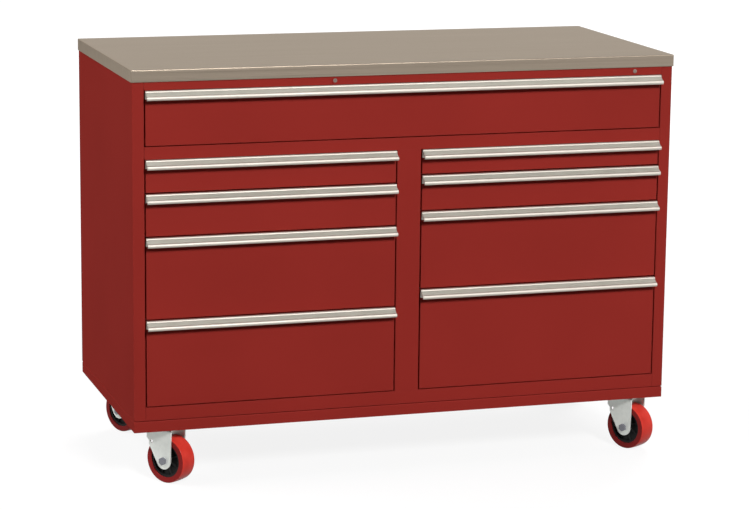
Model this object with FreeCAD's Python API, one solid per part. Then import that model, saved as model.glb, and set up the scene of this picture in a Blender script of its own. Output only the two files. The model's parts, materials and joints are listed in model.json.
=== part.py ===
import FreeCAD, Part
import math
import os

# Rolling drawer cabinet with two banks of drawers under one wide drawer.
# Millimetres. X runs to the right, Y to the back and Z up. The origin is on the floor,
# under the middle of the cabinet with its handles.

# Casing
cabinet_width = 1524.0
cabinet_depth = 711.0
casing_sheet = 1.5
bend_radius = 2.5
stile_width = 32.0
stile_return = 40.0
mullion_width = 68.0
mullion_flange = 20.0
rail_depth = 25.0

# Heights of the front, from the skirt up, with the seam over the base;
# the lowest drawer of a bank takes what is left
base_height = 30.0
seam_gap = 2.0
seam_depth = 6.0
bottom_rail_height = 36.0
bank_height = 670.0
middle_rail_height = 33.0
wide_pitch = 150.0
header_height = 22.0
left_pitches = (91.0, 117.0, 224.0)
right_pitches = (71.0, 100.0, 216.0)

# Worktop
worktop_thickness = 32.0
worktop_overhang = 3.0
worktop_sheet = 1.5
worktop_edge_radius = 2.5

# Base
base_sheet = 2.0
skirt_drop = 10.0
caster_rail_width = 130.0
caster_rail_sheet = 3.0

# Drawers
side_gap = 3.0
bottom_gap = 2.5
top_gap = 1.0
front_sheet = 1.5
front_depth = 18.0
front_flange = 20.0
front_edge_radius = 1.2
tray_sheet = 1.2
tray_depth = 640.0
tray_lift = 7.5
tray_top_gap = 14.0

# Slides, three nested channels on each side of a drawer
slide_width = 13.0
slide_height = 45.0
slide_sheet = 1.5
slide_gap = 0.3
slide_lift = 3.0
slide_front_gap = 2.0
slide_back_gap = 2.0

# Handles: a sloping label channel with a rolled nose that the fingers hold from below.
# Each run is straight, or an arc through its middle point. A point is a share of the projection
# and of the height, from the top of the drawer's face.
handle_projection = 25.0
handle_height = 24.5
handle_profile_shares = (
    ((0.0, 0.0), (0.08, 0.0)),
    ((0.08, 0.0), (0.24, 0.05), (0.30, 0.19)),
    ((0.30, 0.19), (0.27, 0.23)),
    ((0.27, 0.23), (0.72, 0.56)),
    ((0.72, 0.56), (0.76, 0.52)),
    ((0.76, 0.52), (1.0, 0.76), (0.80, 1.0)),
    ((0.80, 1.0), (0.79, 0.93)),
    ((0.79, 0.93), (0.93, 0.77), (0.67, 0.61)),
    ((0.67, 0.61), (0.14, 0.23)),
    ((0.14, 0.23), (0.07, 0.23)),
    ((0.07, 0.23), (0.07, 0.92)),
    ((0.07, 0.92), (0.0, 0.92)),
    ((0.0, 0.92), (0.0, 0.0)),
)

# Locks, set in the header
left_lock_inset = 177.0
right_lock_inset = 80.0
plug_radius = 5.5
plug_clearance = 0.05
plug_proud = 1.8
boss_radius = 7.2
ring_radius = 8.0
ring_proud = 1.5
key_slot_length = 7.0
key_slot_width = 1.3
key_slot_depth = 2.5
cam_length = 20.0
cam_width = 10.0
cam_thickness = 3.0
cam_gap = 0.3

# Casters
caster_height = 165.0
caster_inset_side = 90.0
caster_inset_end = 80.0
caster_angles = {
    "front_left": 38.0,
    "front_right": 30.0,
    "rear_left": 30.0,
    "rear_right": 38.0,
}
plate_width = 102.0
plate_length = 114.0
plate_thickness = 5.0
plate_corner_radius = 8.0
bolt_spacing_x = 76.0
bolt_spacing_y = 86.0
bolt_radius = 5.0
bolt_hole_clearance = 0.5
bolt_head_height = 6.0
bolt_head_width = 17.0
race_radius = 32.0
race_lower_radius = 26.0
race_height = 8.0
kingpin_radius = 6.0
kingpin_clearance = 0.05
kingpin_head_radius = 11.0
kingpin_head_height = 4.0
swivel_gap = 0.3
trail = 35.0
yoke_sheet = 3.5
yoke_bend_radius = 6.0
yoke_front_lean = 3.0
yoke_rear_reach = 23.0
yoke_shoulder = 30.0
yoke_step = 8.0
yoke_waist = 10.0
yoke_end_radius = 23.5
yoke_hole_radius = 4.5
yoke_hole_rear = 6.0
yoke_hole_height = 112.0
wheel_radius = 63.5
wheel_width = 50.0
wheel_side_gap = 3.5
tread_thickness = 16.0
tread_crown = 1.0
tread_shoulder_radius = 2.0
tread_lip = 3.0
hub_recess = 7.0
hub_boss_radius = 16.0
hub_rim = 6.0
hub_boss_gap = 0.5
axle_radius = 6.0
axle_fit = 0.1
axle_running_clearance = 0.05
axle_head_width = 19.0
axle_head_height = 8.0

# Small values shared by all the pieces
overrun = 1.0
near = 0.01

# Places that follow from the sizes
half_width = cabinet_width / 2
back = (cabinet_depth + handle_projection) / 2
front = back - cabinet_depth
back_inner = back - casing_sheet
mount_level = caster_height
skirt_bottom = caster_height - skirt_drop
base_top = skirt_bottom + base_height
floor_level = base_top + seam_gap
bank_bottom = floor_level + bottom_rail_height
bank_top = bank_bottom + bank_height
wide_bottom = bank_top + middle_rail_height
wide_top = wide_bottom + wide_pitch
casing_top = wide_top + header_height
opening_edge = half_width - stile_width
mullion_edge = mullion_width / 2
lock_level = wide_top + header_height / 2
lock_places = (-mullion_edge - left_lock_inset, opening_edge - right_lock_inset)
bolt_hole_radius = bolt_radius + bolt_hole_clearance
slide_start = front + front_depth + slide_front_gap
slide_end = back_inner - slide_back_gap
tray_start = front + front_depth
tray_end = tray_start + tray_depth


def box(x_low, x_high, y_low, y_high, z_low, z_high):
    """A block between three pairs of places."""
    corner = FreeCAD.Vector(x_low, y_low, z_low)
    return Part.makeBox(x_high - x_low, y_high - y_low, z_high - z_low, corner)


def prism(points, direction):
    """A flat outline carried along a direction."""
    closed = list(points) + [points[0]]
    return Part.Face(Part.makePolygon(closed)).extrude(direction)


def round_edges(shape, radius, wanted):
    """Round the edges whose middle and direction pass the test."""
    edges = []
    for edge in shape.Edges:
        if len(edge.Vertexes) > 1:
            span = edge.Vertexes[-1].Point - edge.Vertexes[0].Point
            if wanted(edge.CenterOfMass, span):
                edges.append(edge)
    return shape.makeFillet(radius, edges)


def inward(start, end):
    """The unit step to the right of a straight run, where the sheet's thickness lies."""
    run = end - start
    run.normalize()
    return FreeCAD.Vector(run.y, -run.x, 0)


def folded_sheet(path, sheet, bottom, top):
    """A sheet folded square along a path in plan, seen as its outer face, and carried up."""
    inner = []
    for index, corner in enumerate(path):
        shift = FreeCAD.Vector(0, 0, 0)
        if index > 0:
            shift = shift + inward(path[index - 1], corner)
        if index < len(path) - 1:
            shift = shift + inward(corner, path[index + 1])
        inner.append(corner + shift * sheet)
    lift = FreeCAD.Vector(0, 0, bottom)
    outline = [point + lift for point in list(path) + inner[::-1]]
    solid = prism(outline, FreeCAD.Vector(0, 0, top - bottom))
    bends = path[1:-1]

    def at_bend(middle, span):
        upright = abs(span.x) < near and abs(span.y) < near
        return upright and any(math.hypot(middle.x - b.x, middle.y - b.y) < near for b in bends)

    return round_edges(solid, bend_radius, at_bend)


def mirrored(shape):
    """The same piece on the other side of the cabinet."""
    return shape.mirror(FreeCAD.Vector(0, 0, 0), FreeCAD.Vector(1, 0, 0))


# Casing

def left_side_panel():
    """Side sheet with the front stile, the rear and lower flanges and the returns folded from it."""
    edge = -opening_edge
    path = [
        FreeCAD.Vector(edge, front + stile_return, 0),
        FreeCAD.Vector(edge, front, 0),
        FreeCAD.Vector(-half_width, front, 0),
        FreeCAD.Vector(-half_width, back_inner, 0),
        FreeCAD.Vector(edge, back_inner, 0),
        FreeCAD.Vector(edge, back_inner - stile_return, 0),
    ]
    walls = folded_sheet(path, casing_sheet, floor_level, casing_top)
    flange = box(
        -half_width + casing_sheet, edge,
        front + casing_sheet, back_inner - casing_sheet,
        floor_level, floor_level + casing_sheet,
    )
    return walls.fuse(flange).removeSplitter()


def back_panel():
    """Flat sheet that closes the back."""
    return box(-half_width, half_width, back_inner, back, floor_level, casing_top)


def front_rail(bottom, top):
    """Cross member of the front, a channel that is open to the back."""
    outer = box(-opening_edge, opening_edge, front, front + rail_depth, bottom, top)
    inner = box(
        -opening_edge - overrun, opening_edge + overrun,
        front + casing_sheet, front + rail_depth + overrun,
        bottom + casing_sheet, top - casing_sheet,
    )
    return outer.cut(inner)


def along_y(radius, start, end, x, z):
    """A round bar from front to back."""
    place = FreeCAD.Vector(x, start, z)
    return Part.makeCylinder(radius, end - start, place, FreeCAD.Vector(0, 1, 0))


def header():
    """Top cross member with the two lock barrels welded into it."""
    shape = front_rail(wide_top, casing_top)
    for x in lock_places:
        barrel = along_y(boss_radius, front, front + rail_depth, x, lock_level)
        ring = along_y(ring_radius, front - ring_proud, front, x, lock_level)
        shape = shape.fuse(barrel.fuse(ring))
    bore_radius = plug_radius + plug_clearance
    bore_start = front - ring_proud - overrun
    for x in lock_places:
        bore = along_y(bore_radius, bore_start, front + rail_depth + overrun, x, lock_level)
        shape = shape.cut(bore)
    return shape.removeSplitter()


def centre_divider():
    """Upright between the banks: the mullion with its two cheeks, notched round the cross members."""
    path = [
        FreeCAD.Vector(mullion_edge - mullion_flange, back_inner, 0),
        FreeCAD.Vector(mullion_edge, back_inner, 0),
        FreeCAD.Vector(mullion_edge, front, 0),
        FreeCAD.Vector(-mullion_edge, front, 0),
        FreeCAD.Vector(-mullion_edge, back_inner, 0),
        FreeCAD.Vector(-mullion_edge + mullion_flange, back_inner, 0),
    ]
    shape = folded_sheet(path, casing_sheet, floor_level, wide_bottom)
    for bottom, top in ((floor_level - overrun, bank_bottom), (bank_top, wide_bottom + overrun)):
        notch = box(
            -mullion_edge - overrun, mullion_edge + overrun,
            front - overrun, front + rail_depth,
            bottom, top,
        )
        shape = shape.cut(notch)
    return shape


def lock_plug(x):
    """Key plug and its cam, which points sideways when the lock is open."""
    cam_start = front + rail_depth + cam_gap
    cam_end = cam_start + cam_thickness
    plug = along_y(plug_radius, front - plug_proud, cam_end, x, lock_level)
    cam = box(x, x + cam_length, cam_start, cam_end, lock_level - cam_width / 2, lock_level + cam_width / 2)
    slot = box(
        x - key_slot_width / 2, x + key_slot_width / 2,
        front - plug_proud - overrun, front - plug_proud + key_slot_depth,
        lock_level - key_slot_length / 2, lock_level + key_slot_length / 2,
    )
    return plug.fuse(cam).removeSplitter().cut(slot)


# Base

def base_frame():
    """Downturned base pan, the land that the casing stands on, and the channels for the casters."""
    outer = box(-half_width, half_width, front, back, skirt_bottom, base_top)

    def top_or_corner(middle, span):
        return abs(middle.z - base_top) < near or abs(span.z) > near

    pan = round_edges(outer, bend_radius, top_or_corner)
    hollow = box(
        -half_width + base_sheet, half_width - base_sheet,
        front + base_sheet, back - base_sheet,
        skirt_bottom - overrun, base_top - base_sheet,
    )
    land = box(
        -half_width + seam_depth, half_width - seam_depth,
        front + seam_depth, back - seam_depth,
        base_top, floor_level,
    )
    pieces = [pan.cut(hollow).fuse(land).removeSplitter()]
    for y in caster_rows:
        channel = box(
            -half_width + base_sheet, half_width - base_sheet,
            y - caster_rail_width / 2, y + caster_rail_width / 2,
            mount_level, base_top - base_sheet,
        )
        inside = box(
            -half_width, half_width,
            y - caster_rail_width / 2 + caster_rail_sheet, y + caster_rail_width / 2 - caster_rail_sheet,
            mount_level + caster_rail_sheet, base_top,
        )
        channel = channel.cut(inside)
        for x in caster_columns:
            for hole_x, hole_y in bolt_places(x, y):
                place = FreeCAD.Vector(hole_x, hole_y, mount_level - overrun)
                hole = Part.makeCylinder(bolt_hole_radius, caster_rail_sheet + 2 * overrun, place)
                channel = channel.cut(hole)
        pieces.append(channel)
    return Part.makeCompound(pieces)


# Worktop

def worktop_skin():
    """Stainless sheet turned down over the core on all four sides."""
    side = half_width + worktop_overhang
    near_side = front - worktop_overhang
    top = casing_top + worktop_thickness
    outer = box(-side, side, near_side, back, casing_top, top)

    def top_or_corner(middle, span):
        return abs(middle.z - top) < near or abs(span.z) > near

    skin = round_edges(outer, worktop_edge_radius, top_or_corner)
    hollow = box(
        -side + worktop_sheet, side - worktop_sheet,
        near_side + worktop_sheet, back - worktop_sheet,
        casing_top - overrun, top - worktop_sheet,
    )
    return skin.cut(hollow)


def worktop_core():
    """Board that stiffens the worktop and rests on the casing."""
    side = half_width + worktop_overhang - worktop_sheet
    near_side = front - worktop_overhang + worktop_sheet
    top = casing_top + worktop_thickness - worktop_sheet
    return box(-side, side, near_side, back - worktop_sheet, casing_top, top)


# Drawers

def drawer_cells():
    """Name, left and right edges, bottom and top of each drawer's place in the front."""
    cells = [("wide", -opening_edge, opening_edge, wide_bottom, wide_top)]
    banks = (
        ("left", -opening_edge, -mullion_edge, left_pitches),
        ("right", mullion_edge, opening_edge, right_pitches),
    )
    for bank, left, right, pitches in banks:
        top = bank_top
        lowest = bank_height - sum(pitches)
        for number, pitch in enumerate(pitches + (lowest,), start=1):
            cells.append((bank + "_" + str(number), left, right, top - pitch, top))
            top = top - pitch
    return cells


def drawer_front(left, right, bottom, top):
    """Shallow pan with its face to the front and flanges behind, where the tray is fixed."""
    x_low = left + side_gap
    x_high = right - side_gap
    z_low = bottom + bottom_gap
    z_high = top - top_gap
    outer = box(x_low, x_high, front, front + front_depth, z_low, z_high)

    def face_or_corner(middle, span):
        return abs(middle.y - front) < near or abs(span.y) > near

    pan = round_edges(outer, front_edge_radius, face_or_corner)
    hollow = box(
        x_low + front_sheet, x_high - front_sheet,
        front + front_sheet, front + front_depth - front_sheet,
        z_low + front_sheet, z_high - front_sheet,
    )
    between_flanges = box(
        x_low + front_flange, x_high - front_flange,
        front + front_sheet, front + front_depth + overrun,
        z_low + front_flange, z_high - front_flange,
    )
    return pan.cut([hollow, between_flanges])


def slide_member(edge, sense, level, start, end, bottom):
    """One nested channel of a slide; the last level faces the other way and carries the drawer."""
    inset = level * (slide_sheet + slide_gap)
    low = bottom + inset
    high = bottom + slide_height - inset
    if level == 2:
        web = edge + sense * slide_width
        lip = edge + sense * inset
    else:
        web = edge + sense * inset
        lip = edge + sense * (slide_width - slide_gap)
    open_way = 1 if lip > web else -1
    hollow_web = web + open_way * slide_sheet
    hollow_lip = lip + open_way * overrun
    outer = box(min(web, lip), max(web, lip), start, end, low, high)
    hollow = box(
        min(hollow_web, hollow_lip), max(hollow_web, hollow_lip),
        start - overrun, end + overrun,
        low + slide_sheet, high - slide_sheet,
    )
    return outer.cut(hollow)


def slide_pair(left, right, bottom, level, start, end):
    """The matching members at the two sides of one drawer."""
    foot = bottom + tray_lift + slide_lift
    return [
        slide_member(left, 1, level, start, end, foot),
        slide_member(right, -1, level, start, end, foot),
    ]


def drawer_tray(left, right, bottom, top):
    """Open sheet box with the drawer members of its two slides."""
    x_low = left + slide_width
    x_high = right - slide_width
    z_low = bottom + tray_lift
    z_high = top - tray_top_gap
    outer = box(x_low, x_high, tray_start, tray_end, z_low, z_high)
    hollow = box(
        x_low + tray_sheet, x_high - tray_sheet,
        tray_start + tray_sheet, tray_end - tray_sheet,
        z_low + tray_sheet, z_high + overrun,
    )
    members = slide_pair(left, right, bottom, 2, slide_start, tray_end)
    return Part.makeCompound([outer.cut(hollow)] + members)


def drawer_handle(left, right, top):
    """Extruded pull as wide as the drawer's face."""
    x_low = left + side_gap
    z_high = top - top_gap
    edges = []
    for run in handle_profile_shares:
        points = []
        for out_share, down_share in run:
            y = front - out_share * handle_projection
            z = z_high - down_share * handle_height
            points.append(FreeCAD.Vector(x_low, y, z))
        curve = Part.Arc(*points) if len(points) > 2 else Part.LineSegment(*points)
        edges.append(curve.toShape())
    length = right - left - 2 * side_gap
    return Part.Face(Part.Wire(edges)).extrude(FreeCAD.Vector(length, 0, 0))


# Casters

caster_columns = (-half_width + caster_inset_side, half_width - caster_inset_side)
caster_rows = (front + caster_inset_end, back - caster_inset_end)
caster_places = {
    "front_left": (caster_columns[0], caster_rows[0]),
    "front_right": (caster_columns[1], caster_rows[0]),
    "rear_left": (caster_columns[0], caster_rows[1]),
    "rear_right": (caster_columns[1], caster_rows[1]),
}
yoke_top = mount_level - plate_thickness - race_height - swivel_gap
yoke_inner_half = wheel_width / 2 + wheel_side_gap
yoke_outer_half = yoke_inner_half + yoke_sheet
hub_radius = wheel_radius - tread_thickness


def bolt_places(x, y):
    """Where the four bolts of one caster plate stand."""
    return [
        (x + side * bolt_spacing_x / 2, y + end * bolt_spacing_y / 2)
        for side in (-1, 1)
        for end in (-1, 1)
    ]


def hexagon(width, height, centre, axis):
    """A six-sided head or nut; its width is across the flats."""
    corner_radius = width / 2 / math.cos(math.pi / 6)
    across = FreeCAD.Vector(1, 0, 0)
    points = []
    for step in range(6):
        turn = FreeCAD.Rotation(axis, 60 * step)
        start = across if abs(axis.x) < 0.5 else FreeCAD.Vector(0, 0, 1)
        points.append(centre + turn.multVec(start) * corner_radius)
    return prism(points, axis * height)


def caster_bolt(x, y):
    """Head under the plate, shank and nut above the channel's web."""
    up = FreeCAD.Vector(0, 0, 1)
    plate_bottom = mount_level - plate_thickness
    head_place = FreeCAD.Vector(x, y, plate_bottom - bolt_head_height)
    nut_place = FreeCAD.Vector(x, y, mount_level + caster_rail_sheet)
    head = hexagon(bolt_head_width, bolt_head_height, head_place, up)
    nut = hexagon(bolt_head_width, bolt_head_height, nut_place, up)
    shank_length = plate_thickness + caster_rail_sheet
    shank = Part.makeCylinder(bolt_radius, shank_length, FreeCAD.Vector(x, y, plate_bottom))
    return head.fuse([shank, nut]).removeSplitter()


def caster_plate(x, y):
    """Mounting plate with the fixed race and the kingpin that the yoke turns on."""
    plate_bottom = mount_level - plate_thickness
    outer = box(
        x - plate_width / 2, x + plate_width / 2,
        y - plate_length / 2, y + plate_length / 2,
        plate_bottom, mount_level,
    )
    plate = round_edges(outer, plate_corner_radius, lambda middle, span: abs(span.z) > near)
    for hole_x, hole_y in bolt_places(x, y):
        place = FreeCAD.Vector(hole_x, hole_y, plate_bottom - overrun)
        plate = plate.cut(Part.makeCylinder(bolt_hole_radius, plate_thickness + 2 * overrun, place))
    race_bottom = plate_bottom - race_height
    race = Part.makeCone(race_lower_radius, race_radius, race_height, FreeCAD.Vector(x, y, race_bottom))
    head_top = yoke_top - yoke_sheet - swivel_gap
    head_bottom = head_top - kingpin_head_height
    pin = Part.makeCylinder(kingpin_radius, race_bottom - head_bottom, FreeCAD.Vector(x, y, head_bottom))
    head = Part.makeCylinder(kingpin_head_radius, kingpin_head_height, FreeCAD.Vector(x, y, head_bottom))
    return plate.fuse([race, pin, head]).removeSplitter()


def caster_plates():
    """The four mounting plates with their sixteen bolts."""
    pieces = []
    for x, y in caster_places.values():
        pieces.append(caster_plate(x, y))
        for hole_x, hole_y in bolt_places(x, y):
            pieces.append(caster_bolt(hole_x, hole_y))
    return Part.makeCompound(pieces)


def set_caster(shape, corner):
    """Carry a piece drawn about the kingpin, with its wheel to the front, to its corner."""
    x, y = caster_places[corner]
    turned = shape.copy()
    turned.rotate(FreeCAD.Vector(0, 0, 0), FreeCAD.Vector(0, 0, 1), caster_angles[corner])
    turned.translate(FreeCAD.Vector(x, y, 0))
    return turned


def along_x(radius, start, end, y, z):
    """A round bar from side to side."""
    place = FreeCAD.Vector(start, y, z)
    return Part.makeCylinder(radius, end - start, place, FreeCAD.Vector(1, 0, 0))


def on_yoke_end(angle):
    """A place on the round end of the leg, about the axle; angle 0 is to the back."""
    y = -trail + yoke_end_radius * math.cos(angle)
    return FreeCAD.Vector(-yoke_outer_half, y, wheel_radius + yoke_end_radius * math.sin(angle))


def yoke_tangent(place, sense):
    """Where a straight edge from a place above touches the leg's round end, behind (-1) or ahead (1)."""
    reach_y = place.y + trail
    reach_z = place.z - wheel_radius
    spread = math.acos(yoke_end_radius / math.hypot(reach_y, reach_z))
    return math.atan2(reach_z, reach_y) + sense * spread


def yoke_side_outline():
    """Leg seen from the side: nearly upright in front, stepped in and slanting behind, round below."""
    x = -yoke_outer_half
    shoulder_z = yoke_top - yoke_shoulder
    waist_y = yoke_rear_reach - yoke_step
    top_front = FreeCAD.Vector(x, -trail - yoke_end_radius - yoke_front_lean, yoke_top)
    top_rear = FreeCAD.Vector(x, yoke_rear_reach, yoke_top)
    shoulder = FreeCAD.Vector(x, yoke_rear_reach, shoulder_z)
    step = FreeCAD.Vector(x, waist_y, shoulder_z - yoke_step)
    waist = FreeCAD.Vector(x, waist_y, shoulder_z - yoke_step - yoke_waist)
    behind = yoke_tangent(waist, -1)
    ahead = yoke_tangent(top_front, 1)
    low = (behind + ahead - 2 * math.pi) / 2
    arc = Part.Arc(on_yoke_end(behind), on_yoke_end(low), on_yoke_end(ahead))
    corners = [on_yoke_end(ahead), top_front, top_rear, shoulder, step, waist, on_yoke_end(behind)]
    edges = [Part.LineSegment(a, b).toShape() for a, b in zip(corners, corners[1:])]
    return Part.Face(Part.Wire(edges + [arc.toShape()]))


def caster_yoke():
    """Pressed fork with its axle bolt, drawn about the kingpin."""
    body = yoke_side_outline().extrude(FreeCAD.Vector(2 * yoke_outer_half, 0, 0))

    def top_side(middle, span):
        at_top = abs(middle.z - yoke_top) < near
        return at_top and abs(span.y) > near

    body = round_edges(body, yoke_bend_radius, top_side)
    reach = trail + yoke_end_radius + yoke_front_lean + yoke_rear_reach
    throat = box(
        -yoke_inner_half, yoke_inner_half,
        -reach, reach,
        0, yoke_top - yoke_sheet,
    )
    body = body.cut(throat)
    pin_hole = Part.makeCylinder(
        kingpin_radius + kingpin_clearance, yoke_sheet + 2 * overrun,
        FreeCAD.Vector(0, 0, yoke_top - yoke_sheet - overrun),
    )
    wide = yoke_outer_half + overrun
    axle_hole = along_x(axle_radius + axle_fit, -wide, wide, -trail, wheel_radius)
    small_hole = along_x(yoke_hole_radius, -wide, wide, yoke_hole_rear, yoke_hole_height)
    body = body.cut([pin_hole, axle_hole, small_hole])
    side = FreeCAD.Vector(1, 0, 0)
    shank = along_x(axle_radius, -yoke_outer_half, yoke_outer_half, -trail, wheel_radius)
    head_place = FreeCAD.Vector(-yoke_outer_half - axle_head_height, -trail, wheel_radius)
    nut_place = FreeCAD.Vector(yoke_outer_half, -trail, wheel_radius)
    head = hexagon(axle_head_width, axle_head_height, head_place, side)
    nut = hexagon(axle_head_width, axle_head_height, nut_place, side)
    axle = shank.fuse([head, nut]).removeSplitter()
    return Part.makeCompound([body, axle])


def revolved(edges):
    """Turn a closed outline about the wheel's own axle line."""
    face = Part.Face(Part.Wire(edges))
    start = FreeCAD.Vector(0, -trail, wheel_radius)
    return face.revolve(start, FreeCAD.Vector(1, 0, 0), 360)


def wheel_point(x, radius):
    """A place on the wheel's half section."""
    return FreeCAD.Vector(x, -trail, wheel_radius + radius)


def closed_lines(points):
    """Straight edges round a list of places."""
    ring = list(points) + [points[0]]
    return [Part.LineSegment(a, b).toShape() for a, b in zip(ring, ring[1:])]


def wheel_hub():
    """Moulded core with recessed faces and a boss at each side."""
    boss_half = wheel_width / 2 + wheel_side_gap - hub_boss_gap
    rim_half = wheel_width / 2 - tread_lip
    web_half = rim_half - hub_recess
    bore = axle_radius + axle_running_clearance
    half = [
        (boss_half, bore),
        (boss_half, hub_boss_radius),
        (web_half, hub_boss_radius),
        (web_half, hub_radius - hub_rim),
        (rim_half, hub_radius - hub_rim),
        (rim_half, hub_radius),
    ]
    points = [wheel_point(x, radius) for x, radius in half]
    points = points + [wheel_point(-x, radius) for x, radius in half[::-1]]
    return revolved(closed_lines(points))


def wheel_tread():
    """Crowned tyre bonded round the core."""
    half = wheel_width / 2
    shoulder = wheel_radius - tread_crown
    right_side = wheel_point(half, shoulder - tread_shoulder_radius)
    right_top = wheel_point(half - tread_shoulder_radius, shoulder)
    bulge = tread_shoulder_radius * math.sin(math.pi / 4)
    right_mid = wheel_point(half - tread_shoulder_radius + bulge, shoulder - tread_shoulder_radius + bulge)
    crown = wheel_point(0, wheel_radius)
    left_side = wheel_point(-half, shoulder - tread_shoulder_radius)
    left_top = wheel_point(-half + tread_shoulder_radius, shoulder)
    left_mid = wheel_point(-half + tread_shoulder_radius - bulge, shoulder - tread_shoulder_radius + bulge)
    left_foot = wheel_point(-half, hub_radius)
    right_foot = wheel_point(half, hub_radius)
    edges = [
        Part.LineSegment(right_foot, right_side).toShape(),
        Part.Arc(right_side, right_mid, right_top).toShape(),
        Part.Arc(right_top, crown, left_top).toShape(),
        Part.Arc(left_top, left_mid, left_side).toShape(),
        Part.LineSegment(left_side, left_foot).toShape(),
        Part.LineSegment(left_foot, right_foot).toShape(),
    ]
    return revolved(edges)


# Every piece, each written as its own file

def all_pieces():
    """Node names with their shapes."""
    left_panel = left_side_panel()
    pieces = {
        "left_side_panel": left_panel,
        "right_side_panel": mirrored(left_panel),
        "back_panel": back_panel(),
        "base_frame": base_frame(),
        "front_rails": Part.makeCompound([
            front_rail(floor_level, bank_bottom),
            front_rail(bank_top, wide_bottom),
            header(),
        ]),
        "centre_divider": centre_divider(),
        "worktop_skin": worktop_skin(),
        "worktop_core": worktop_core(),
        "left_lock_plug": lock_plug(lock_places[0]),
        "right_lock_plug": lock_plug(lock_places[1]),
        "caster_plates": caster_plates(),
    }
    fixed_members = []
    for name, left, right, bottom, top in drawer_cells():
        fixed_members = fixed_members + slide_pair(left, right, bottom, 0, slide_start, slide_end)
        carriages = slide_pair(left, right, bottom, 1, slide_start, slide_end)
        pieces[name + "_carriages"] = Part.makeCompound(carriages)
        pieces[name + "_front"] = drawer_front(left, right, bottom, top)
        pieces[name + "_tray"] = drawer_tray(left, right, bottom, top)
        pieces[name + "_handle"] = drawer_handle(left, right, top)
    pieces["fixed_slides"] = Part.makeCompound(fixed_members)
    yoke = caster_yoke()
    hub = wheel_hub()
    tread = wheel_tread()
    for corner in caster_places:
        pieces[corner + "_yoke"] = set_caster(yoke, corner)
        pieces[corner + "_hub"] = set_caster(hub, corner)
        pieces[corner + "_tread"] = set_caster(tread, corner)
    return pieces


os.makedirs("parts", exist_ok=True)
for node, shape in all_pieces().items():
    shape.exportStep("parts/" + node + ".step")
    print(node, len(shape.Solids), shape.isValid(), round(shape.Volume))
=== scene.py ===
import json
import math

import bmesh
import bpy
from mathutils import Matrix, Vector


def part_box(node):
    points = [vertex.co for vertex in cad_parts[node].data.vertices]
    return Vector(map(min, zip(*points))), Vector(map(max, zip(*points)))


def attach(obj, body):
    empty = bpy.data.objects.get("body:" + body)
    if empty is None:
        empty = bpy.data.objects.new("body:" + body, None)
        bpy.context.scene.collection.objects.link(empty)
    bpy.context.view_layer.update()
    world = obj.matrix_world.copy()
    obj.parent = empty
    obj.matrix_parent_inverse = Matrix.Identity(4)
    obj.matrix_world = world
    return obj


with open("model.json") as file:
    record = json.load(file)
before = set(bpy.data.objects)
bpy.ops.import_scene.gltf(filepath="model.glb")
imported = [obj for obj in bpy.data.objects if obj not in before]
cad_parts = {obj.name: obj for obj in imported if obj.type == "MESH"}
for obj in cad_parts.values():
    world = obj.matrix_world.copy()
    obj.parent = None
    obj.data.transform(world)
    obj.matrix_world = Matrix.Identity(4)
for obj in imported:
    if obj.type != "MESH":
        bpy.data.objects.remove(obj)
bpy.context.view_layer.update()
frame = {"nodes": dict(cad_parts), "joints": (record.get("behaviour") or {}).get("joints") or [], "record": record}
nodes = frame["nodes"]

CORNERS = ("front_left", "front_right", "rear_left", "rear_right")
DRAWERS = ["wide"] + [bank + "_" + str(number) for bank in ("left", "right") for number in (1, 2, 3, 4)]

# Colours, linear: a material's darker tone, its lighter tone and, on metal, the painted highlight along its edges
RED_PAINT = ((0.258, 0.0233, 0.0178), (0.278, 0.0252, 0.0194), (0.305, 0.0330, 0.0270))
GREY_PAINT = ((0.42, 0.43, 0.43), (0.47, 0.48, 0.48), (0.56, 0.57, 0.57))
WARM_STEEL = ((0.245, 0.200, 0.155), (0.305, 0.255, 0.200), (0.37, 0.335, 0.280))
ALUMINIUM = ((0.42, 0.390, 0.350), (0.50, 0.465, 0.415), (0.58, 0.54, 0.485))
CASTER_ZINC = ((0.67, 0.695, 0.655), (0.79, 0.815, 0.770), (0.94, 0.95, 0.92))
SLIDE_ZINC = ((0.50, 0.51, 0.52), (0.64, 0.65, 0.66), (0.94, 0.95, 0.92))
LOCK_METAL = ((0.20, 0.145, 0.125), (0.30, 0.220, 0.190), (0.30, 0.220, 0.190))
HUB_BLACK = ((0.010, 0.010, 0.010), (0.018, 0.018, 0.018))
TREAD_RED = ((0.60, 0.033, 0.022), (0.75, 0.055, 0.038))
# The label card's grey is partly painted shade, standing in for the darker middle band of the handles
SHADED_LABEL_CARD = ((0.36, 0.35, 0.30), (0.40, 0.39, 0.34))
BOARD_CHIPS = ((0.30, 0.20, 0.11), (0.42, 0.30, 0.18))

# Single colours, linear; the grazing one tints what the worktop reflects at a low angle
BOLT_STEEL = (0.22, 0.225, 0.250)
# Painted shade, darker than the tread's red, for the sides of a caster's tread and the inside of its lip
PAINTED_TREAD_SHADE = (0.250, 0.017, 0.016)
STEEL_GRAZING = (0.86, 0.79, 0.71)
FLOOR_GREY = (0.13, 0.13, 0.13)
BLACK = (0.0, 0.0, 0.0)
WHITE = (1.0, 1.0, 1.0)


# Shader helpers

# Most of a noise's values lie between these, and the most common ones between the narrow pair
NOISE_RANGE = (0.3, 0.7)
NARROW_NOISE_RANGE = (0.35, 0.65)

# 1 less the cosine between a face's normal and its rounded one, where an edge starts and fully shows
EDGE_TURN_START = 0.03
EDGE_TURN_FULL = 0.25
EDGE_SAMPLES = 6
ROUNDING_SAMPLES = 4


def add(tree, kind, **settings):
    """A new node with its settings made."""
    made = tree.nodes.new(kind)
    for key, value in settings.items():
        setattr(made, key, value)
    return made


def feed(tree, value, socket):
    """A socket linked to a node's output, or set to a constant."""
    if isinstance(value, bpy.types.NodeSocket):
        tree.links.new(value, socket)
    else:
        socket.default_value = value


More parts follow.
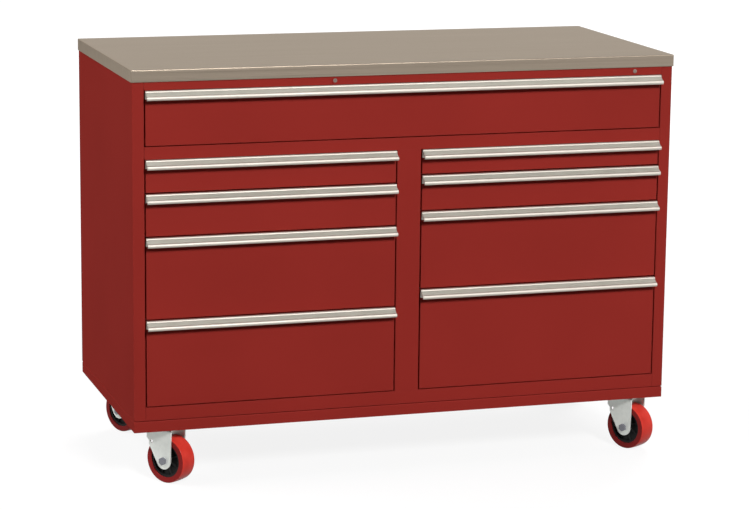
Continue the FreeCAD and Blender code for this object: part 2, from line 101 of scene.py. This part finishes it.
def opaque(colour):
    """A colour with its alpha of 1; a node's output stays as it is."""
    return colour + (1.0,) if isinstance(colour, tuple) else colour


def new_material(name, roughness, metallic=0.0, specular=0.5, coat=0.0, coat_roughness=0.3):
    """A material with its principled shader's constant values set."""
    material = bpy.data.materials.new(name)
    material.use_nodes = True
    shader = material.node_tree.nodes["Principled BSDF"]
    shader.inputs["Roughness"].default_value = roughness
    shader.inputs["Metallic"].default_value = metallic
    shader.inputs["Specular IOR Level"].default_value = specular
    shader.inputs["Coat Weight"].default_value = coat
    shader.inputs["Coat Roughness"].default_value = coat_roughness
    return material, material.node_tree, shader


def place(tree, scale=(1.0, 1.0, 1.0)):
    """Object coordinates in metres, stretched by a scale."""
    coordinates = add(tree, "ShaderNodeTexCoord")
    mapping = add(tree, "ShaderNodeMapping")
    mapping.inputs["Scale"].default_value = scale
    tree.links.new(coordinates.outputs["Object"], mapping.inputs["Vector"])
    return mapping.outputs["Vector"]


def noise(tree, vector, scale, detail, roughness=0.5):
    """Plain noise read at a vector."""
    texture = add(tree, "ShaderNodeTexNoise")
    texture.inputs["Scale"].default_value = scale
    texture.inputs["Detail"].default_value = detail
    texture.inputs["Roughness"].default_value = roughness
    tree.links.new(vector, texture.inputs["Vector"])
    return texture.outputs["Fac"]


def spread(tree, value, low, high, to_low=0.0, to_high=1.0):
    """A value's range stretched onto another one."""
    ranged = add(tree, "ShaderNodeMapRange")
    ranged.inputs["From Min"].default_value = low
    ranged.inputs["From Max"].default_value = high
    ranged.inputs["To Min"].default_value = to_low
    ranged.inputs["To Max"].default_value = to_high
    tree.links.new(value, ranged.inputs["Value"])
    return ranged.outputs["Result"]


def worked_out(tree, operation, *values):
    """Result of a math operation on values, each a number or a node's output."""
    made = add(tree, "ShaderNodeMath", operation=operation)
    for value, socket in zip(values, made.inputs):
        feed(tree, value, socket)
    return made.outputs[0]


def vector_result(tree, operation, *vectors):
    """Result of a math operation on vectors, each a vector or a node's output."""
    made = add(tree, "ShaderNodeVectorMath", operation=operation)
    for vector, socket in zip(vectors, made.inputs):
        feed(tree, vector, socket)
    return made.outputs["Value" if operation in ("DOT_PRODUCT", "LENGTH") else "Vector"]


def plus_share(tree, first, second, share):
    """The first value plus a share of the second."""
    return worked_out(tree, "MULTIPLY_ADD", second, share, first)


def blend(tree, data_type, socket_type, factor, low, high):
    """Two values or colours mixed by a factor."""
    mix = add(tree, "ShaderNodeMix", data_type=data_type)
    ends = {socket.name: socket for socket in mix.inputs if socket.type == socket_type}
    feed(tree, low, ends["A"])
    feed(tree, high, ends["B"])
    tree.links.new(factor, mix.inputs["Factor"])
    return [socket for socket in mix.outputs if socket.type == socket_type][0]


def blend_values(tree, factor, low, high):
    """Two values mixed by a factor."""
    return blend(tree, "FLOAT", "VALUE", factor, low, high)


def blend_colours(tree, factor, low, high):
    """Two colours mixed by a factor; each is a colour or a node's output."""
    return blend(tree, "RGBA", "RGBA", factor, opaque(low), opaque(high))


def edge_mask(tree, width):
    """0 on flat faces and 1 along edges, as far in as the width."""
    geometry = add(tree, "ShaderNodeNewGeometry")
    rounded = add(tree, "ShaderNodeBevel", samples=EDGE_SAMPLES)
    rounded.inputs["Radius"].default_value = width
    alike = vector_result(tree, "DOT_PRODUCT", geometry.outputs["Normal"], rounded.outputs["Normal"])
    return spread(tree, alike, 1.0 - EDGE_TURN_START, 1.0 - EDGE_TURN_FULL)


def edge_highlighted_colour(tree, tone, colours, highlight_width):
    """The darker colour turned to the lighter one by a tone, and to a painted highlight colour along edges."""
    dark_colour, light_colour, highlight_colour = colours
    field = blend_colours(tree, tone, dark_colour, light_colour)
    return blend_colours(tree, edge_mask(tree, highlight_width), field, highlight_colour)


def uneven_gloss(tree, shader, pattern, roughness, less, more):
    """Roughness that a pattern moves from a little below its level to a little above it."""
    uneven = spread(tree, pattern, *NOISE_RANGE, roughness - less, roughness + more)
    tree.links.new(uneven, shader.inputs["Roughness"])


def bump(tree, shader, height, distance, strength, rounding=0.0):
    """Fine relief, over edges that are rounded for light by a small radius."""
    relief = add(tree, "ShaderNodeBump")
    relief.inputs["Distance"].default_value = distance
    relief.inputs["Strength"].default_value = strength
    tree.links.new(height, relief.inputs["Height"])
    if rounding:
        edge = add(tree, "ShaderNodeBevel", samples=ROUNDING_SAMPLES)
        edge.inputs["Radius"].default_value = rounding
        tree.links.new(edge.outputs["Normal"], relief.inputs["Normal"])
    tree.links.new(relief.outputs["Normal"], shader.inputs["Normal"])


# Masks on the casters

# The bolt's and the tread lip's radii about the axle, and the bolt's start from the wheel's middle
BOLT_RADIUS = 0.012
BOLT_START = 0.0321
TREAD_LIP_RADIUS = 0.0560

# How much of a face's normal lies along the axle where it starts to be a side, and where it fully is
TREAD_SIDE_FACING = (0.80, 0.95)


def axle(corner):
    """Middle and direction of a caster's axle."""
    spin = {joint["name"]: joint for joint in frame["joints"]}[corner + "_wheel_spin"]
    return Vector(spin["pos_m"]), Vector(spin["axis"]).normalized()


def axle_distances(tree, corner):
    """How far a point is from a caster's axle line and, along that line, from the wheel's middle."""
    centre, axis = axle(corner)
    coordinates = add(tree, "ShaderNodeTexCoord")
    aside = vector_result(tree, "SUBTRACT", coordinates.outputs["Object"], centre)
    away = vector_result(tree, "LENGTH", vector_result(tree, "CROSS_PRODUCT", aside, axis))
    along = vector_result(tree, "DOT_PRODUCT", aside, axis)
    return away, worked_out(tree, "ABSOLUTE", along)


def axle_end(tree, corner):
    """1 on the head and the nut of a caster's axle, and 0 elsewhere."""
    away, along = axle_distances(tree, corner)
    near = worked_out(tree, "LESS_THAN", away, BOLT_RADIUS)
    outside = worked_out(tree, "GREATER_THAN", along, BOLT_START)
    return worked_out(tree, "MULTIPLY", near, outside)


def tread_side_shade(tree, corner):
    """1 where painted shade goes on a caster's tread, its sides and inside its lip, and 0 on its rolling surface.
    """
    away, along = axle_distances(tree, corner)
    coordinates = add(tree, "ShaderNodeTexCoord")
    alike = vector_result(tree, "DOT_PRODUCT", coordinates.outputs["Normal"], axle(corner)[1])
    square = spread(tree, worked_out(tree, "ABSOLUTE", alike), *TREAD_SIDE_FACING)
    return worked_out(tree, "MAXIMUM", square, worked_out(tree, "LESS_THAN", away, TREAD_LIP_RADIUS))


# Powder coat; in every material, lengths are in metres and scales in patterns to the metre

PAINT_ROUGHNESS = 0.45
PAINT_COAT = 0.03
# How far in from an edge the painted highlight on the paint reaches
PAINT_HIGHLIGHT_WIDTH = 0.0016
PAINT_ROUNDING = 0.0008
DRIFT_SCALE = 2.4
SPECK_SCALE = 420.0
SPECK_SHARE = 0.25
PEEL_SCALE = 260.0
PEEL_DEPTH = 0.00006
SHEEN_SCALE = 6.0

# Spot weld marks in the paint's relief; they are pressed in, so they take away from it
WELD_INSET = 0.018
WELD_PITCH = 0.075
WELD_RADIUS = 0.0035
WELD_FLAT_SHARE = 0.6
WELD_PEEL_SHARE = -6.0


def weld_marks(tree, low, high):
    """1 in shallow round marks in a row round a panel's four edges, and 0 between them."""
    coordinates = add(tree, "ShaderNodeTexCoord")
    axes = add(tree, "ShaderNodeSeparateXYZ")
    tree.links.new(coordinates.outputs["Object"], axes.inputs["Vector"])
    distances = []
    for along, across in (("X", "Z"), ("Z", "X")):
        index = "XYZ".index(across)
        middle = (low[index] + high[index]) / 2
        reach = (high[index] - low[index]) / 2 - WELD_INSET
        step = worked_out(tree, "PINGPONG", axes.outputs[along], WELD_PITCH / 2)
        aside = worked_out(tree, "ABSOLUTE", worked_out(tree, "SUBTRACT", axes.outputs[across], middle))
        aside = worked_out(tree, "SUBTRACT", aside, reach)
        squares = [worked_out(tree, "MULTIPLY", leg, leg) for leg in (aside, step)]
        distances.append(worked_out(tree, "SQRT", worked_out(tree, "ADD", *squares)))
    nearest = worked_out(tree, "MINIMUM", *distances)
    return spread(tree, nearest, WELD_RADIUS, WELD_FLAT_SHARE * WELD_RADIUS)


def powder_coat(name, colours, marks_on=None):
    """Satin powder coat with a fine orange-peel relief, a slight drift of tone and a painted highlight along its
    edges.
    """
    material, tree, shader = new_material(
        name, PAINT_ROUGHNESS, specular=0.0, coat=PAINT_COAT, coat_roughness=PAINT_ROUGHNESS
    )
    where = place(tree)
    drift = noise(tree, where, DRIFT_SCALE, detail=3.0)
    speck = noise(tree, where, SPECK_SCALE, detail=2.0)
    tone = plus_share(tree, spread(tree, drift, *NARROW_NOISE_RANGE), speck, SPECK_SHARE)
    tree.links.new(edge_highlighted_colour(tree, tone, colours, PAINT_HIGHLIGHT_WIDTH), shader.inputs["Base Color"])
    relief = noise(tree, where, PEEL_SCALE, detail=3.0, roughness=0.6)
    if marks_on:
        low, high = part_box(marks_on)
        relief = plus_share(tree, relief, weld_marks(tree, low, high), WELD_PEEL_SHARE)
    bump(tree, shader, relief, PEEL_DEPTH, strength=0.6, rounding=PAINT_ROUNDING)
    sheen = noise(tree, where, SHEEN_SCALE, detail=4.0)
    uneven_gloss(tree, shader, sheen, PAINT_ROUGHNESS, less=0.04, more=0.05)
    return material


# Brushed metal

GRAIN_SCALE_ALONG = 1.5
GRAIN_DEPTH = 0.00002
GRAIN_TONE = (-0.2, 0.4)
STREAK_SCALES = (0.7, 34.0, 34.0)
STREAK_SHARE = 0.8

# How much of a face's normal lies along X where it starts to be an end face, and where it fully is
END_FACING = (0.6, 0.8)


def brushed_metal(name, colours, roughness, fineness, tone_reach, rounding, grazing=WHITE):
    """Metal with fine straight grain along X on its top and front, down its ends, and a painted highlight along
    its edges.
    """
    material, tree, shader = new_material(name, roughness, metallic=1.0)
    shader.inputs["Specular Tint"].default_value = opaque(grazing)
    along = place(tree, (GRAIN_SCALE_ALONG, fineness, fineness))
    down = place(tree, (GRAIN_SCALE_ALONG, fineness, GRAIN_SCALE_ALONG))
    geometry = add(tree, "ShaderNodeNewGeometry")
    axes = add(tree, "ShaderNodeSeparateXYZ")
    tree.links.new(geometry.outputs["Normal"], axes.inputs["Vector"])
    end_face = spread(tree, worked_out(tree, "ABSOLUTE", axes.outputs["X"]), *END_FACING)
    grains = [noise(tree, way, scale=1.0, detail=4.0, roughness=0.7) for way in (along, down)]
    lines = blend_values(tree, end_face, *grains)
    streaks = noise(tree, place(tree, STREAK_SCALES), scale=1.0, detail=4.0, roughness=0.6)
    grain_tone = spread(tree, lines, 0.5 - tone_reach, 0.5 + tone_reach, *GRAIN_TONE)
    tone = plus_share(tree, grain_tone, streaks, STREAK_SHARE)
    tree.links.new(edge_highlighted_colour(tree, tone, colours, 2 * rounding), shader.inputs["Base Color"])
    uneven_gloss(tree, shader, lines, roughness, less=0.06, more=0.08)
    bump(tree, shader, lines, GRAIN_DEPTH, strength=0.5, rounding=rounding)
    return material


# Zinc plate

# How far in from an edge the painted highlight reaches, on zinc plate and on a caster's zinc
ZINC_HIGHLIGHT_WIDTH = 0.0012
CASTER_HIGHLIGHT_WIDTH = 0.0028
ZINC_ROUNDING = 0.0007
CRYSTAL_SCALE = 90.0
CRYSTAL_SHARE = 0.5
BLOTCH_SCALE = 35.0
BLOTCH_TONE = (0.0, 0.8)
SCRATCH_SCALES = (600.0, 600.0, 40.0)
SCRATCH_DEPTH = 0.00003


def zinc_plate(name, colours, roughness, metallic, highlight_width=ZINC_HIGHLIGHT_WIDTH, bolt_corner=None):
    """Zinc plate with faint blotches, fine scratches and a painted highlight along its edges; an axle's bolt is
    darker.
    """
    material, tree, shader = new_material(name, roughness, metallic, specular=0.3)
    where = place(tree)
    crystals = add(tree, "ShaderNodeTexVoronoi", feature="F1")
    crystals.inputs["Scale"].default_value = CRYSTAL_SCALE
    tree.links.new(where, crystals.inputs["Vector"])
    blotch = noise(tree, where, BLOTCH_SCALE, detail=4.0, roughness=0.6)
    blotch_tone = spread(tree, blotch, *NOISE_RANGE, *BLOTCH_TONE)
    tone = plus_share(tree, blotch_tone, crystals.outputs["Distance"], CRYSTAL_SHARE)
    field = edge_highlighted_colour(tree, tone, colours, highlight_width)
    if bolt_corner:
        field = blend_colours(tree, axle_end(tree, bolt_corner), field, BOLT_STEEL)
    tree.links.new(field, shader.inputs["Base Color"])
    uneven_gloss(tree, shader, blotch, roughness, less=0.07, more=0.1)
    scratches = noise(tree, place(tree, SCRATCH_SCALES), scale=1.0, detail=3.0)
    bump(tree, shader, scratches, SCRATCH_DEPTH, strength=0.4, rounding=ZINC_ROUNDING)
    return material


def caster_zinc(name, corner=None):
    """Zinc plate of a caster; with a corner, its axle's bolt shows."""
    return zinc_plate(
        name, CASTER_ZINC, roughness=0.42, metallic=0.45, highlight_width=CASTER_HIGHLIGHT_WIDTH, bolt_corner=corner
    )


# Moulded plastic, rubber and card

MOULDED_DRIFT_SCALE = 22.0
MOULDED_ROUNDING = 0.0008


def moulded(name, colours, roughness, grain_scale, grain_depth, specular, coat=0.0, wheel_corner=None):
    """Plastic, rubber or card with a fine grain; a wheel's tread gets painted shade on its sides."""
    material, tree, shader = new_material(
        name, roughness, specular=specular, coat=coat, coat_roughness=0.15
    )
    where = place(tree)
    drift = noise(tree, where, MOULDED_DRIFT_SCALE, detail=4.0)
    field = blend_colours(tree, spread(tree, drift, *NOISE_RANGE), *colours)
    if wheel_corner:
        field = blend_colours(tree, tread_side_shade(tree, wheel_corner), field, PAINTED_TREAD_SHADE)
    tree.links.new(field, shader.inputs["Base Color"])
    grain = noise(tree, where, grain_scale, detail=2.0)
    uneven_gloss(tree, shader, drift, roughness, less=0.05, more=0.07)
    bump(tree, shader, grain, grain_depth, strength=0.5, rounding=MOULDED_ROUNDING)
    return material


def red_tread(name, corner=None):
    """Red polyurethane of a caster's tread; with a corner, painted shade darkens its sides."""
    return moulded(
        name, TREAD_RED, roughness=0.34, grain_scale=500.0, grain_depth=0.00003, specular=0.06,
        coat=0.06, wheel_corner=corner,
    )


# Particle board

CHIP_SCALE = 160.0
CHIP_FLATTENING = (1.0, 1.0, 3.0)
CHIP_DEPTH = 0.0002


def particle_board(name):
    """Pressed wood board with visible chips."""
    material, tree, shader = new_material(name, roughness=0.75)
    chips = noise(tree, place(tree, CHIP_FLATTENING), CHIP_SCALE, detail=5.0, roughness=0.7)
    field = blend_colours(tree, spread(tree, chips, *NARROW_NOISE_RANGE), *BOARD_CHIPS)
    tree.links.new(field, shader.inputs["Base Color"])
    bump(tree, shader, chips, CHIP_DEPTH, strength=0.5)
    return material


# The materials, and the CAD nodes that wear them

materials = {
    "red_paint": powder_coat("red_paint", RED_PAINT),
    "drawer_paint": powder_coat("drawer_paint", GREY_PAINT),
    "handle_aluminium": brushed_metal(
        "handle_aluminium", ALUMINIUM, roughness=0.58, fineness=700.0, tone_reach=0.22,
        rounding=0.0004,
    ),
    "zinc_slide": zinc_plate("zinc_slide", SLIDE_ZINC, roughness=0.35, metallic=1.0),
    "zinc_caster": caster_zinc("zinc_caster"),
    "black_hub": moulded(
        "black_hub", HUB_BLACK, roughness=0.45, grain_scale=900.0, grain_depth=0.00005,
        specular=0.12,
    ),
    "red_tread": red_tread("red_tread"),
    "lock_metal": zinc_plate("lock_metal", LOCK_METAL, roughness=0.35, metallic=0.8),
    "stainless": brushed_metal(
        "stainless", WARM_STEEL, roughness=0.36, fineness=900.0, tone_reach=0.18,
        rounding=0.0006, grazing=STEEL_GRAZING,
    ),
    "board": particle_board("board"),
}
shaded_label_card = moulded(
    "shaded_label_card", SHADED_LABEL_CARD, roughness=0.5, grain_scale=700.0, grain_depth=0.00002, specular=0.3,
    coat=0.2,
)

for entry in frame["record"]["subparts"]:
    for used in nodes[entry["node"]].material_slots:
        used.material = materials[entry["material_slot"]]

nodes["back_panel"].material_slots[0].material = powder_coat("back_paint", RED_PAINT, "back_panel")
for corner in CORNERS:
    nodes[corner + "_yoke"].material_slots[0].material = caster_zinc(corner + "_yoke_zinc", corner)
    nodes[corner + "_tread"].material_slots[0].material = red_tread(corner + "_tread_red", corner)


# Pieces added to the CAD nodes

# Where a label strip's section starts and ends, as shares of the handle's depth and height
LABEL_RUN_SHARES = ((0.28, 0.237), (0.71, 0.553))
LABEL_THICKNESS = 0.0006
LABEL_SIDE_GAP = 0.0015

# Tray hems; the tray's node also holds slide members, which reach out past its two sides
HEM_DEPTH = 0.009
HEM_THICKNESS = 0.0016
HEM_LIFT = 0.0004
MEMBER_REACH = 0.0094
TRAY_SHEET = 0.0012

# Hub ribs; the section goes round by shares of half the thickness and of the height
HUB_WEB_HALF = 0.015
RIB_COUNT = 8
RIB_START = 0.0165
RIB_END = 0.0410
RIB_START_HEIGHT = 0.0062
RIB_END_HEIGHT = 0.0045
RIB_THICKNESS = 0.0034
RIB_SECTION_SHARES = ((-1.0, -0.1), (-0.7, 0.85), (-0.35, 1.0), (0.35, 1.0), (0.7, 0.85), (1.0, -0.1))


def put_in_scene(name, data):
    """A new object in the scene for a mesh, a lamp or a camera."""
    made = bpy.data.objects.new(name, data)
    bpy.context.scene.collection.objects.link(made)
    return made


def new_piece(name, shape, material, body):
    """A mesh piece that takes a material and rides on a body."""
    mesh = bpy.data.meshes.new(name)
    bmesh.ops.recalc_face_normals(shape, faces=shape.faces)
    shape.to_mesh(mesh)
    shape.free()
    mesh.materials.append(material)
    piece = put_in_scene(name, mesh)
    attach(piece, body)


def skin_rings(shape, rings, closed_way):
    """Faces between rings of points; the way along the rings is closed or ends in two caps."""
    rows = [[shape.verts.new(point) for point in ring] for ring in rings]
    pairs = list(zip(rows, rows[1:]))
    if closed_way:
        pairs.append((rows[-1], rows[0]))
    else:
        shape.faces.new(rows[0])
        shape.faces.new(rows[-1])
    for first, second in pairs:
        for index in range(len(first)):
            after = (index + 1) % len(first)
            shape.faces.new((first[index], first[after], second[after], second[index]))


def pill(length, thickness, steps=4):
    """Outline of a thin strip with round ends, about its middle."""
    radius = thickness / 2
    half = length / 2 - radius
    points = []
    for side in (1, -1):
        for step in range(steps + 1):
            angle = math.pi * (step / steps - 0.5)
            points.append((side * (half + radius * math.cos(angle)), side * radius * math.sin(angle)))
    return points


def label_strip(drawer):
    """Blank card strip that lies in the channel of a drawer's handle; its grey is also painted shade for the
    handle's darker middle band.
    """
    low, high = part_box(drawer + "_handle")
    depth, height = high[1] - low[1], high[2] - low[2]
    ends = [Vector((high[1] - out * depth, high[2] - down * height)) for out, down in LABEL_RUN_SHARES]
    run = ends[1] - ends[0]
    along = run.normalized()
    above = Vector((along.y, -along.x))
    middle = (ends[0] + ends[1]) / 2 + above * LABEL_THICKNESS / 2
    section = pill(run.length, LABEL_THICKNESS)
    outline = [middle + along * way + above * lift for way, lift in section]
    x_ends = (low[0] + LABEL_SIDE_GAP, high[0] - LABEL_SIDE_GAP)
    shape = bmesh.new()
    rings = [[(x, point.x, point.y) for point in outline] for x in x_ends]
    skin_rings(shape, rings, closed_way=False)
    new_piece(drawer + "_label_strip", shape, shaded_label_card, drawer + "_drawer")


def tray_hem(drawer):
    """Folded hem round the top edge of a drawer's tray, on its inner side."""
    low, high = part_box(drawer + "_tray")
    inner = TRAY_SHEET + HEM_THICKNESS / 2
    x_low, x_high = low[0] + MEMBER_REACH + inner, high[0] - MEMBER_REACH - inner
    y_low, y_high = low[1] + inner, high[1] - inner
    z = high[2] + HEM_LIFT - HEM_DEPTH / 2
    front = ((x_low, -1, y_low, -1), (x_high, 1, y_low, -1))
    back = ((x_high, 1, y_high, 1), (x_low, -1, y_high, 1))
    section = pill(HEM_DEPTH, HEM_THICKNESS)
    rings = []
    for x, x_way, y, y_way in front + back:
        rings.append([(x + x_way * out, y + y_way * out, z + up) for up, out in section])
    shape = bmesh.new()
    skin_rings(shape, rings, closed_way=True)
    new_piece(drawer + "_tray_hem", shape, materials["drawer_paint"], drawer + "_drawer")


def hub_ribs(corner):
    """Moulded ribs in the two recessed faces of a wheel's core."""
    centre, axis = axle(corner)
    up = Vector((0.0, 0.0, 1.0))
    level = axis.cross(up)
    shape = bmesh.new()
    for side in (1, -1):
        for number in range(RIB_COUNT):
            angle = 2 * math.pi * (number + 0.5) / RIB_COUNT
            out = level * math.cos(angle) + up * math.sin(angle)
            across = axis.cross(out)
            rings = []
            for reach, height in ((RIB_START, RIB_START_HEIGHT), (RIB_END, RIB_END_HEIGHT)):
                foot = centre + out * reach + axis * side * HUB_WEB_HALF
                ring = []
                for along, rise in RIB_SECTION_SHARES:
                    ring.append(foot + across * along * RIB_THICKNESS / 2 + axis * side * rise * height)
                rings.append(ring)
            skin_rings(shape, rings, closed_way=False)
    new_piece(corner + "_hub_ribs", shape, materials["black_hub"], corner + "_wheel")


for drawer in DRAWERS:
    label_strip(drawer)
    tray_hem(drawer)
for corner in CORNERS:
    hub_ribs(corner)


# Floor, light and camera

WORLD_LIGHT = 0.12
FLOOR_RADIUS = 40.0
FLOOR_SEGMENTS = 96

# The floor's own white, which lamps add to: near the cabinet, far off, and the distances where it changes
FLOOR_GLOW = 0.87
FAR_FLOOR_GLOW = 0.96
GLOW_CHANGE = (1.5, 5.0)

# Two dark cards on the floor: two corners of each, and where along an axis it goes from dark to white
FLAG_LIFT = 0.004
FRONT_FLAG = ((-9.0, -15.0), (11.0, -4.5))
FRONT_FLAG_FADE = (1.6, 4.2)
SIDE_FLAG = ((-9.0, 5.0), (0.5, 20.0))
SIDE_FLAG_FADE = (10.6, 8.0)

# Lamps: azimuth and elevation in degrees, size in metres, and level
KEY_LAMP = (6.0, 32.0, 2.4, 0.92)
LEFT_LAMP = (-98.0, 38.0, 6.0, 0.78)
FAR_LAMP = (146.0, 35.0, 6.0, 0.92)
LAMP_DISTANCE = 12.0
LAMP_TARGET = Vector((0.0, 0.0, 0.6))

# Camera: its window is the part of the 750 by 510 photograph round the cabinet, in that frame's pixels
FOCAL_PX = 1419.4
WINDOW_WIDTH_PX = 400.0
SENSOR_MM = 36.0
CAMERA_PLACE = Vector((-2.214, -7.082, 2.037))
CAMERA_YAW = 17.46
CAMERA_PITCH = -11.44
CAMERA_ROLL = 0.63


def seen_ray(tree):
    """1 where a ray comes from the camera, a reflection or glass, else 0."""
    path = add(tree, "ShaderNodeLightPath")
    seen = path.outputs["Is Camera Ray"]
    for kind in ("Is Glossy Ray", "Is Transmission Ray"):
        seen = worked_out(tree, "MAXIMUM", seen, path.outputs[kind])
    return seen


def white_glow(tree, shader, colour, strength):
    """A shader's colour, and a white glow of a strength over it."""
    shader.inputs["Base Color"].default_value = opaque(colour)
    shader.inputs["Emission Color"].default_value = opaque(WHITE)
    tree.links.new(strength, shader.inputs["Emission Strength"])


def studio_floor():
    """Large pale disc under the cabinet."""
    mesh = bpy.data.meshes.new("floor")
    shape = bmesh.new()
    bmesh.ops.create_circle(shape, cap_ends=True, segments=FLOOR_SEGMENTS, radius=FLOOR_RADIUS)
    shape.to_mesh(mesh)
    shape.free()
    floor = put_in_scene("floor", mesh)
    material, tree, shader = new_material("floor_paint", roughness=0.9, specular=0.0)
    distance = vector_result(tree, "LENGTH", place(tree))
    glow = spread(tree, distance, *GLOW_CHANGE, FLOOR_GLOW, FAR_FLOOR_GLOW)
    white_glow(tree, shader, FLOOR_GREY, worked_out(tree, "MULTIPLY", glow, seen_ray(tree)))
    mesh.materials.append(material)


def flag(name, box, axis, fade):
    """Card on the floor, from dark to white along an axis, that only shows in reflections."""
    mesh = bpy.data.meshes.new(name)
    low, high = box
    corners = [(low[0], low[1]), (high[0], low[1]), (high[0], high[1]), (low[0], high[1])]
    mesh.from_pydata([(x, y, FLAG_LIFT) for x, y in corners], [], [(0, 1, 2, 3)])
    card = put_in_scene(name, mesh)
    material, tree, shader = new_material(name + "_card", roughness=1.0, specular=0.0)
    axes = add(tree, "ShaderNodeSeparateXYZ")
    tree.links.new(place(tree), axes.inputs["Vector"])
    white_glow(tree, shader, BLACK, spread(tree, axes.outputs[axis], *fade))
    mesh.materials.append(material)
    for kind in ("camera", "diffuse", "transmission", "volume_scatter", "shadow"):
        setattr(card, "visible_" + kind, False)


def studio_world():
    """White to the camera and in reflections, and a softer white light on the object."""
    world = bpy.data.worlds.new("studio")
    bpy.context.scene.world = world
    world.use_nodes = True
    tree = world.node_tree
    background = tree.nodes["Background"]
    background.inputs["Color"].default_value = opaque(WHITE)
    strength = spread(tree, seen_ray(tree), 0.0, 1.0, WORLD_LIGHT, 1.0)
    tree.links.new(strength, background.inputs["Strength"])


def area_light(name, azimuth, elevation, size, level):
    """Soft square lamp round the cabinet; at level 1 it lights a white card that faces it to full white."""
    lamp = bpy.data.lights.new(name, "AREA")
    lamp.shape = "SQUARE"
    lamp.size = size
    lamp.energy = level * (math.pi * LAMP_DISTANCE) ** 2
    turn, lift = math.radians(azimuth), math.radians(elevation)
    way = Vector((math.sin(turn) * math.cos(lift), -math.cos(turn) * math.cos(lift), math.sin(lift)))
    holder = put_in_scene(name, lamp)
    holder.location = LAMP_TARGET + way * LAMP_DISTANCE
    holder.rotation_mode = "QUATERNION"
    holder.rotation_quaternion = (-way).to_track_quat("-Z", "Y")
    return holder


def photo_camera():
    """Camera with the photograph's window on the cabinet."""
    yaw, pitch, roll = (math.radians(angle) for angle in (CAMERA_YAW, CAMERA_PITCH, CAMERA_ROLL))
    forward = Vector((math.sin(yaw) * math.cos(pitch), math.cos(yaw) * math.cos(pitch), math.sin(pitch)))
    level = Vector((math.cos(yaw), -math.sin(yaw), 0.0))
    above = level.cross(forward)
    right = math.cos(roll) * level + math.sin(roll) * above
    up = -math.sin(roll) * level + math.cos(roll) * above
    data = bpy.data.cameras.new("photo_camera")
    data.sensor_width = SENSOR_MM
    data.lens = FOCAL_PX / WINDOW_WIDTH_PX * SENSOR_MM
    camera = put_in_scene("photo_camera", data)
    turn = Matrix((right, up, -forward)).transposed()
    camera.matrix_world = Matrix.Translation(CAMERA_PLACE) @ turn.to_4x4()
    bpy.context.scene.camera = camera


studio_floor()
studio_world()
flag("front_flag", FRONT_FLAG, "X", FRONT_FLAG_FADE)
flag("side_flag", SIDE_FLAG, "Y", SIDE_FLAG_FADE)
area_light("key", *KEY_LAMP)
area_light("left_side", *LEFT_LAMP).visible_glossy = False
area_light("far_side", *FAR_LAMP).visible_glossy = False
photo_camera()

bpy.context.scene.view_settings.view_transform = "Standard"
